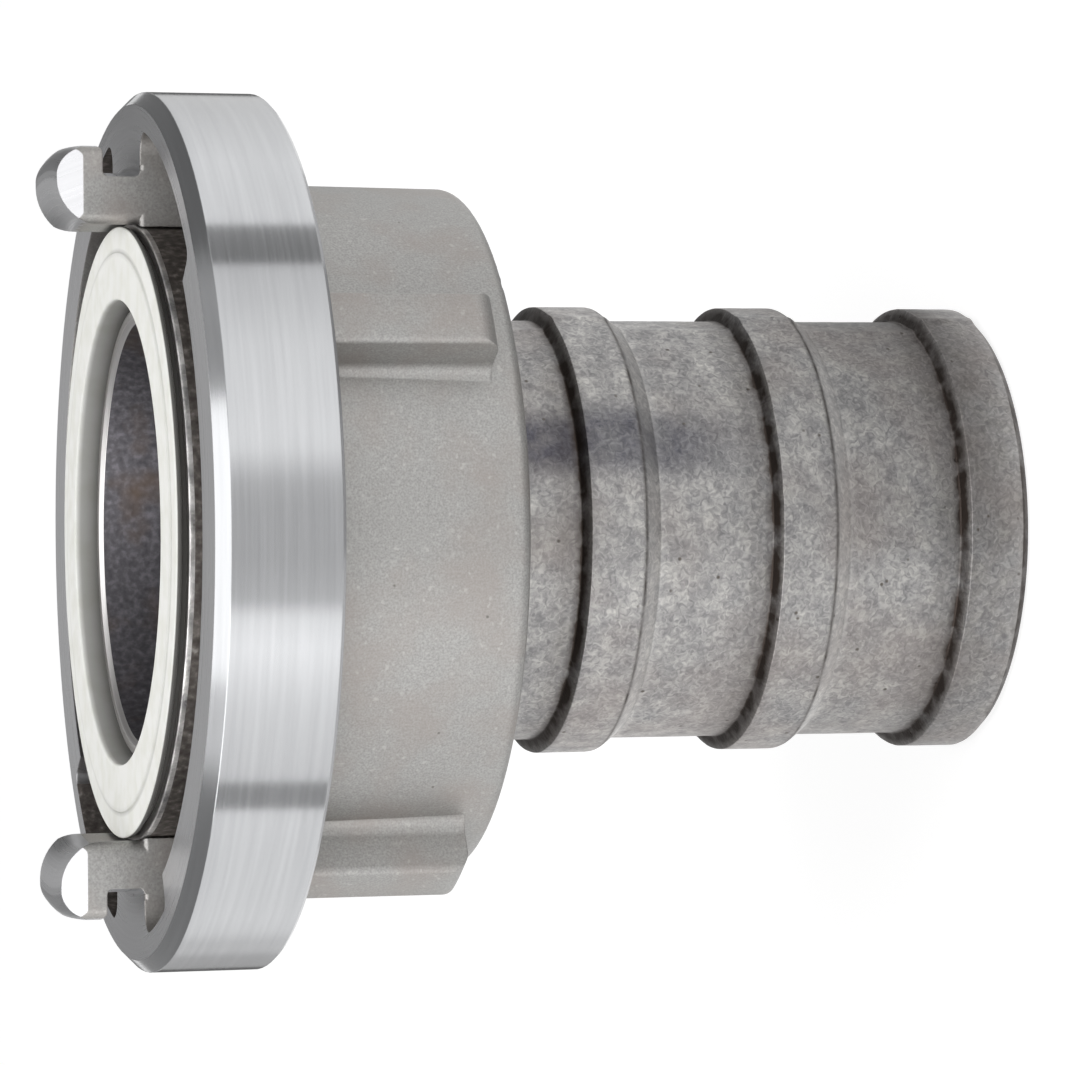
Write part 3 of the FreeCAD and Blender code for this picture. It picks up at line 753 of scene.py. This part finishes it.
def glowing_sheet(name, points, levels):
    """Sheet of two rows of points that glows at the level of each column, only in reflections."""
    columns = points.shape[1]
    numbers = np.arange(2 * columns).reshape(2, columns)
    faces = np.stack([numbers[0, :-1], numbers[0, 1:], numbers[1, 1:], numbers[1, :-1]], -1)
    material, tree = new_material(name)
    glow = add_node(tree, "ShaderNodeAttribute", {"attribute_name": "glow"}).outputs["Fac"]
    light = add_node(tree, "ShaderNodeEmission", inputs={"Strength": glow})
    add_node(tree, "ShaderNodeOutputMaterial", inputs={"Surface": light.outputs[0]})
    piece = put_in_scene(name, points.reshape(-1, 3), faces, [material], np.zeros(len(faces)))
    mark_points(piece, "glow", np.tile(levels, 2))
    only_for_reflections(piece)


def floor():
    """Plain white floor: it glows for the camera and for reflections, and its paint takes the shadow."""
    half = 3.0
    points = np.array([(-half, -half, 0), (half, -half, 0), (half, half, 0), (-half, half, 0)])
    material, tree = new_material("studio_floor")
    rays = add_node(tree, "ShaderNodeLightPath").outputs
    seen = add_node(tree, "ShaderNodeMath", {"operation": "ADD", "use_clamp": True}, {
        0: rays["Is Camera Ray"], 1: rays["Is Glossy Ray"]})
    shade = add_node(tree, "ShaderNodeMapRange", inputs={
        "Value": seen.outputs[0], "To Min": 0.9, "To Max": 0.3})
    glow = add_node(tree, "ShaderNodeMapRange", inputs={
        "Value": seen.outputs[0], "To Min": 0.0, "To Max": 0.85})
    paint = add_node(tree, "ShaderNodeBsdfDiffuse", inputs={"Color": shade.outputs[0]})
    light = add_node(tree, "ShaderNodeEmission", inputs={"Strength": glow.outputs[0]})
    both = add_node(tree, "ShaderNodeAddShader", inputs={0: paint.outputs[0], 1: light.outputs[0]})
    add_node(tree, "ShaderNodeOutputMaterial", inputs={"Surface": both.outputs[0]})
    piece = put_in_scene("studio_floor", points, np.array([(0, 1, 2, 3)]), [material], [0])


def softbox(name, place, aim, size, power):
    """Square area lamp that the camera and the reflections don't see."""
    lamp = bpy.data.lights.new(name, "AREA")
    lamp.size = size
    lamp.energy = power
    piece = bpy.data.objects.new(name, lamp)
    bpy.context.scene.collection.objects.link(piece)
    piece.location = place
    piece.rotation_euler = (Vector(aim) - Vector(place)).to_track_quat("-Z", "Y").to_euler()
    piece.visible_camera = False
    piece.visible_glossy = False


def white_room():
    """World: white to the camera and to reflections, softer as a light."""
    world = bpy.data.worlds.new("white_room")
    bpy.context.scene.world = world
    world.use_nodes = True
    tree = world.node_tree
    tree.nodes.clear()
    rays = add_node(tree, "ShaderNodeLightPath").outputs
    seen = add_node(tree, "ShaderNodeMath", {"operation": "ADD", "use_clamp": True}, {
        0: rays["Is Camera Ray"], 1: rays["Is Glossy Ray"]})
    strength = add_node(tree, "ShaderNodeMapRange", inputs={
        "Value": seen.outputs[0], "To Min": 0.4, "To Max": 1.0})
    background = add_node(tree, "ShaderNodeBackground", inputs={
        "Color": (1, 1, 1, 1), "Strength": strength.outputs[0]})
    add_node(tree, "ShaderNodeOutputWorld", inputs={"Surface": background.outputs[0]})


floor()
white_room()

# Distances of the cards and sheets from the water axis
ring_cards, wings, sheets = 0.35, 0.5, 0.6

# Low cards, that the ring's outside shows as bands from its top edge down
card("far_side", [(-62, 0.7), (-42, 0.9), (-26, 1.1), (-12, 1.27), (12.2, 1.3)], ring_cards, 0.0, 0.1)
card("dark_upper_edge", [(11, 0.46), (14, 0.36), (23.2, 0.24)], ring_cards - 0.01, 0.0, 0.14, 2)
card("upper_side", [(23.5, 0.95), (34, 1.06), (46, 1.26), (66, 1.37), (71, 1.33), (74, 1.1)],
     ring_cards, 0.0, 0.2)
card("camera_side", [(74, 1.1), (78.5, 0.75), (84, 0.65), (96, 0.65), (106, 0.78)], ring_cards, 0.0, 0.12)
card("bright_strip", [(106, 0.8), (109.5, 1.5), (117, 1.7), (120, 1.62)], ring_cards, 0.0, 0.13)
card("lower_side", [(120, 1.62), (126, 1.42), (132, 1.26), (140, 1.17), (151.6, 1.08)], ring_cards, 0.0, 0.2)
card("dark_lower_edge", [(151.8, 0.4), (159.6, 0.4)], ring_cards - 0.01, 0.0, 0.14, -2)
card("under_side", [(159, 1.26), (200, 1.2), (208, 1.1), (214, 0.85), (221, 0.82), (226, 0.58), (242, 0.42)],
     ring_cards, 0.0, 0.1)
card("dark_horizon", [(-118, 0.12), (-62, 0.12)], ring_cards, 0.0, 0.1)

# High cards, that the front bevel, the claws and the front face show
arch("bright_sheet", -0.27, 0.24, 10, 105, sheets, 2.0)
arch("grey_sheet", 0.24, 0.6, 10, 105, sheets, 0.5)
card("back_wall", [(-100, 0.48), (-80, 0.48)], sheets, 0.06, 0.55)
card("dark_upper_wing", [(-80, 0.2), (10, 0.2)], wings, 0.12, 0.7)
card("bright_lower_wing", [(108, 3.6), (165, 3.6)], wings, 0.2, 0.6)
card("grey_lower_wing", [(170, 0.3), (260, 0.3)], wings, 0.12, 0.8)

# Low discs of painted shadow: they stand for the object's shadow on the floor, which the tube's end shows the
# nearer it is to the floor
disc("painted_floor_shadow_dark", -90, 100, 0.04, 0.09, 0.35)
disc("painted_floor_shadow_grey", -90, 100, 0.09, 0.16, 0.65)
disc("painted_floor_shadow_pale", 100, 270, 0.04, 0.12, 0.8)

softbox("key_lamp", (0.15, -0.35, 0.95), (0, 0, 0.07), 0.6, 5)
softbox("fill_lamp", (-0.6, -0.9, 0.5), (0, 0, 0.07), 0.9, 3)


# Camera

def photo_camera():
    """Long lens on the near side: it looks along +Y, a little down, with +X up in the picture.

    Its three directions are those of a level camera turned 15.46 degrees towards
    the floor, then tipped 0.37 degrees about Y. The flange's centre is 690 mm
    ahead of it and 58 mm to the left.
    """
    yaw, tip = 0.2699, 0.0065
    far, aside = 689.98 * mm, 57.98 * mm
    tipped = Matrix.Rotation(tip, 3, "Y")
    right = tipped @ Vector((0, -np.sin(yaw), -np.cos(yaw)))
    up = tipped @ Vector((1, 0, 0))
    ahead = up.cross(right)
    camera = bpy.data.cameras.new("photo_camera")
    camera.lens = 162.53
    camera.sensor_width = 36
    camera.clip_start = 0.02
    piece = bpy.data.objects.new("photo_camera", camera)
    bpy.context.scene.collection.objects.link(piece)
    turn = Matrix((right, up, -ahead)).transposed()
    place = Vector((0, 0, flange)) + right * aside - ahead * far
    piece.matrix_world = Matrix.Translation(place) @ turn.to_4x4()
    bpy.context.scene.camera = piece


photo_camera()
bpy.context.scene.view_settings.view_transform = "Standard"
